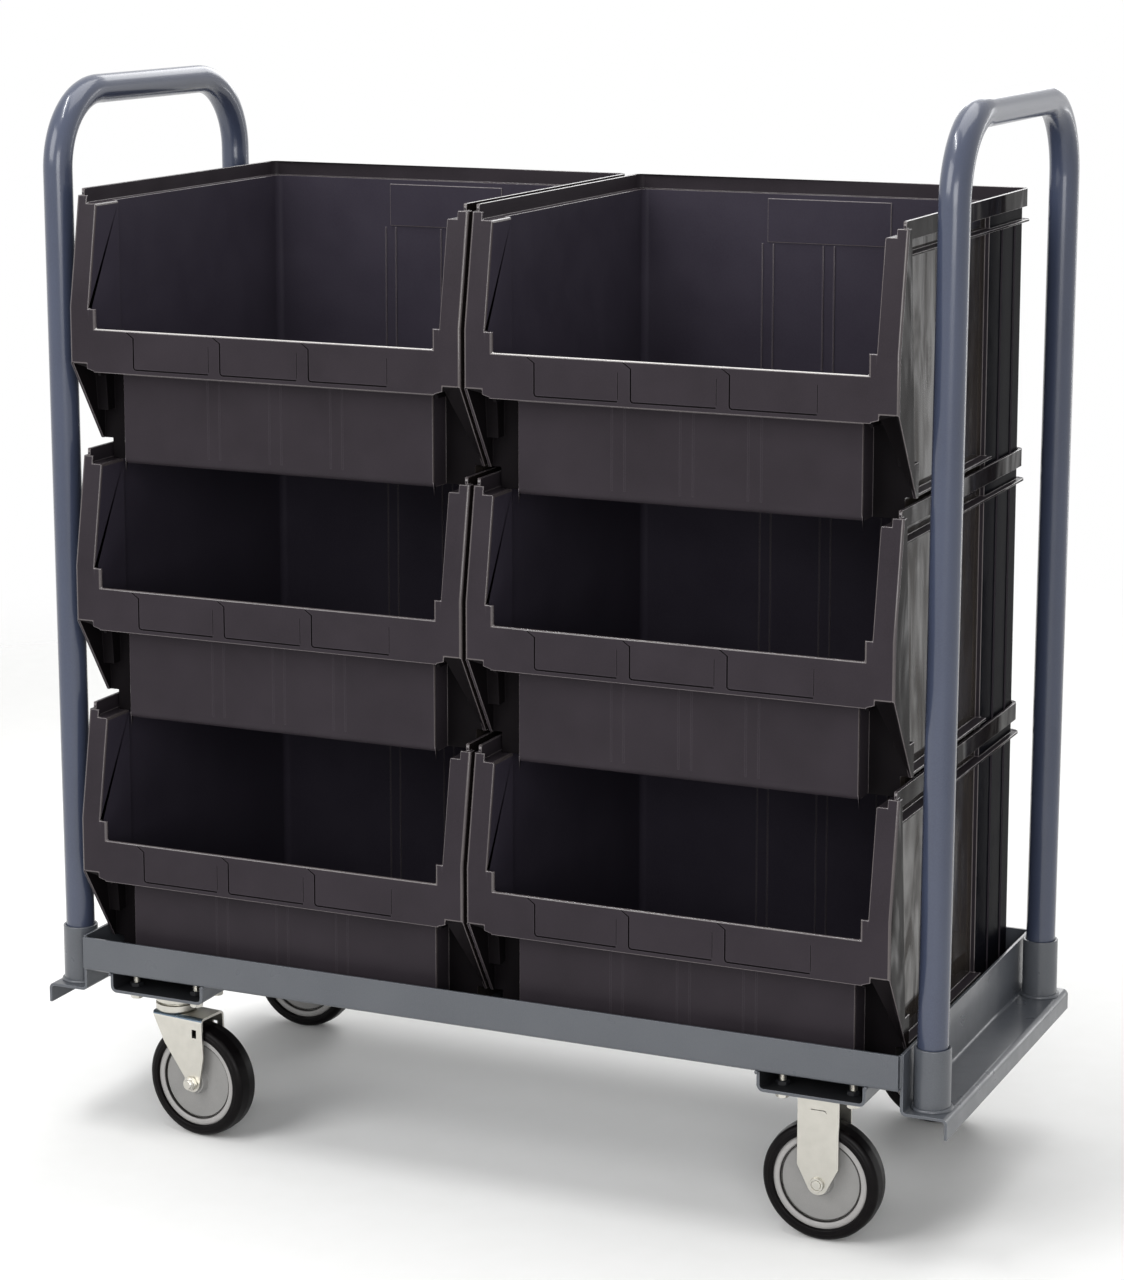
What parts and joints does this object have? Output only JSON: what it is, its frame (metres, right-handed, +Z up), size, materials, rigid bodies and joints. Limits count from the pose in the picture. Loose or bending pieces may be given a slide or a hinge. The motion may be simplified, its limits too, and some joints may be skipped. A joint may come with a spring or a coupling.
{
  "type": "mobile bin cart",
  "caption": "Wheeled steel cart base with a tube push handle at each end, carrying open-fronted plastic bins that stack side by side and lift off.",
  "frame": {"origin": "on the floor, under the middle of the overall bounding box", "axes": "+X along the cart towards the rigid casters, +Y from the open bin fronts to the back, +Z up"},
  "size_m": [1.048, 0.465, 1.1676],
  "materials": {
    "frame_steel": "slate grey powder coat",
    "handle_steel": "slate grey powder coat, slightly glossy",
    "bin_plastic": "moulded black, finely grained",
    "zinc_steel": "bright zinc plating",
    "hub_plastic": "moulded grey",
    "tyre_rubber": "smooth black tread"
  },
  "bodies": {
    "base": {"deck": "frame_steel", "front_rail": "frame_steel", "rear_rail": "frame_steel", "left_end_channel": "frame_steel", "right_end_channel": "frame_steel", "left_caster_channel": "frame_steel", "right_caster_channel": "frame_steel", "left_front_socket": "frame_steel", "left_rear_socket": "frame_steel", "right_front_socket": "frame_steel", "right_rear_socket": "frame_steel", "left_handle": "handle_steel", "right_handle": "handle_steel", "left_front_top_plate": "zinc_steel", "left_front_swivel_race": "zinc_steel", "left_rear_top_plate": "zinc_steel", "left_rear_swivel_race": "zinc_steel", "right_front_bracket": "zinc_steel", "right_front_axle": "zinc_steel", "right_rear_bracket": "zinc_steel", "right_rear_axle": "zinc_steel", "left_front_bolt_1": "zinc_steel", "left_front_bolt_2": "zinc_steel", "left_front_bolt_3": "zinc_steel", "left_front_bolt_4": "zinc_steel", "left_rear_bolt_1": "zinc_steel", "left_rear_bolt_2": "zinc_steel", "left_rear_bolt_3": "zinc_steel", "left_rear_bolt_4": "zinc_steel", "right_front_bolt_1": "zinc_steel", "right_front_bolt_2": "zinc_steel", "right_front_bolt_3": "zinc_steel", "right_front_bolt_4": "zinc_steel", "right_rear_bolt_1": "zinc_steel", "right_rear_bolt_2": "zinc_steel", "right_rear_bolt_3": "zinc_steel", "right_rear_bolt_4": "zinc_steel"},
    "left_front_swivel": {"left_front_fork": "zinc_steel", "left_front_kingpin": "zinc_steel", "left_front_axle": "zinc_steel", "left_front_axle_nut": "zinc_steel"},
    "left_rear_swivel": {"left_rear_fork": "zinc_steel", "left_rear_kingpin": "zinc_steel", "left_rear_axle": "zinc_steel", "left_rear_axle_nut": "zinc_steel"},
    "left_front_wheel": {"left_front_hub": "hub_plastic", "left_front_tyre": "tyre_rubber"},
    "left_rear_wheel": {"left_rear_hub": "hub_plastic", "left_rear_tyre": "tyre_rubber"},
    "right_front_wheel": {"right_front_hub": "hub_plastic", "right_front_tyre": "tyre_rubber"},
    "right_rear_wheel": {"right_rear_hub": "hub_plastic", "right_rear_tyre": "tyre_rubber"},
    "left_lower": {"left_lower_bin": "bin_plastic"},
    "left_middle": {"left_middle_bin": "bin_plastic"},
    "left_upper": {"left_upper_bin": "bin_plastic"},
    "right_lower": {"right_lower_bin": "bin_plastic"},
    "right_middle": {"right_middle_bin": "bin_plastic"},
    "right_upper": {"right_upper_bin": "bin_plastic"}
  },
  "joints": [
    {"name": "left_front_swivel_turn", "type": "hinge", "parent": "base", "child": "left_front_swivel", "pos_m": [-0.382, -0.17855, 0.14], "axis": [0, 0, 1], "continuous": true},
    {"name": "left_rear_swivel_turn", "type": "hinge", "parent": "base", "child": "left_rear_swivel", "pos_m": [-0.382, 0.18645, 0.14], "axis": [0, 0, 1], "continuous": true},
    {"name": "left_front_wheel_spin", "type": "hinge", "parent": "left_front_swivel", "child": "left_front_wheel", "pos_m": [-0.34822, -0.1824, 0.0635], "axis": [0.1132, 0.9936, 0], "continuous": true},
    {"name": "left_rear_wheel_spin", "type": "hinge", "parent": "left_rear_swivel", "child": "left_rear_wheel", "pos_m": [-0.416, 0.18645, 0.0635], "axis": [0, 1, 0], "continuous": true},
    {"name": "right_front_wheel_spin", "type": "hinge", "parent": "base", "child": "right_front_wheel", "pos_m": [0.382, -0.17855, 0.0635], "axis": [0, 1, 0], "continuous": true},
    {"name": "right_rear_wheel_spin", "type": "hinge", "parent": "base", "child": "right_rear_wheel", "pos_m": [0.382, 0.18645, 0.0635], "axis": [0, 1, 0], "continuous": true},
    {"name": "left_lower_lift", "type": "slide", "parent": "base", "child": "left_lower", "axis": [0, 0, 1], "range_m": [0, 0.06]},
    {"name": "left_middle_lift", "type": "slide", "parent": "left_lower", "child": "left_middle", "axis": [0, 0, 1], "range_m": [0, 0.06]},
    {"name": "left_upper_lift", "type": "slide", "parent": "left_middle", "child": "left_upper", "axis": [0, 0, 1], "range_m": [0, 0.06]},
    {"name": "right_lower_lift", "type": "slide", "parent": "base", "child": "right_lower", "axis": [0, 0, 1], "range_m": [0, 0.06]},
    {"name": "right_middle_lift", "type": "slide", "parent": "right_lower", "child": "right_middle", "axis": [0, 0, 1], "range_m": [0, 0.06]},
    {"name": "right_upper_lift", "type": "slide", "parent": "right_middle", "child": "right_upper", "axis": [0, 0, 1], "range_m": [0, 0.06]}
  ]
}
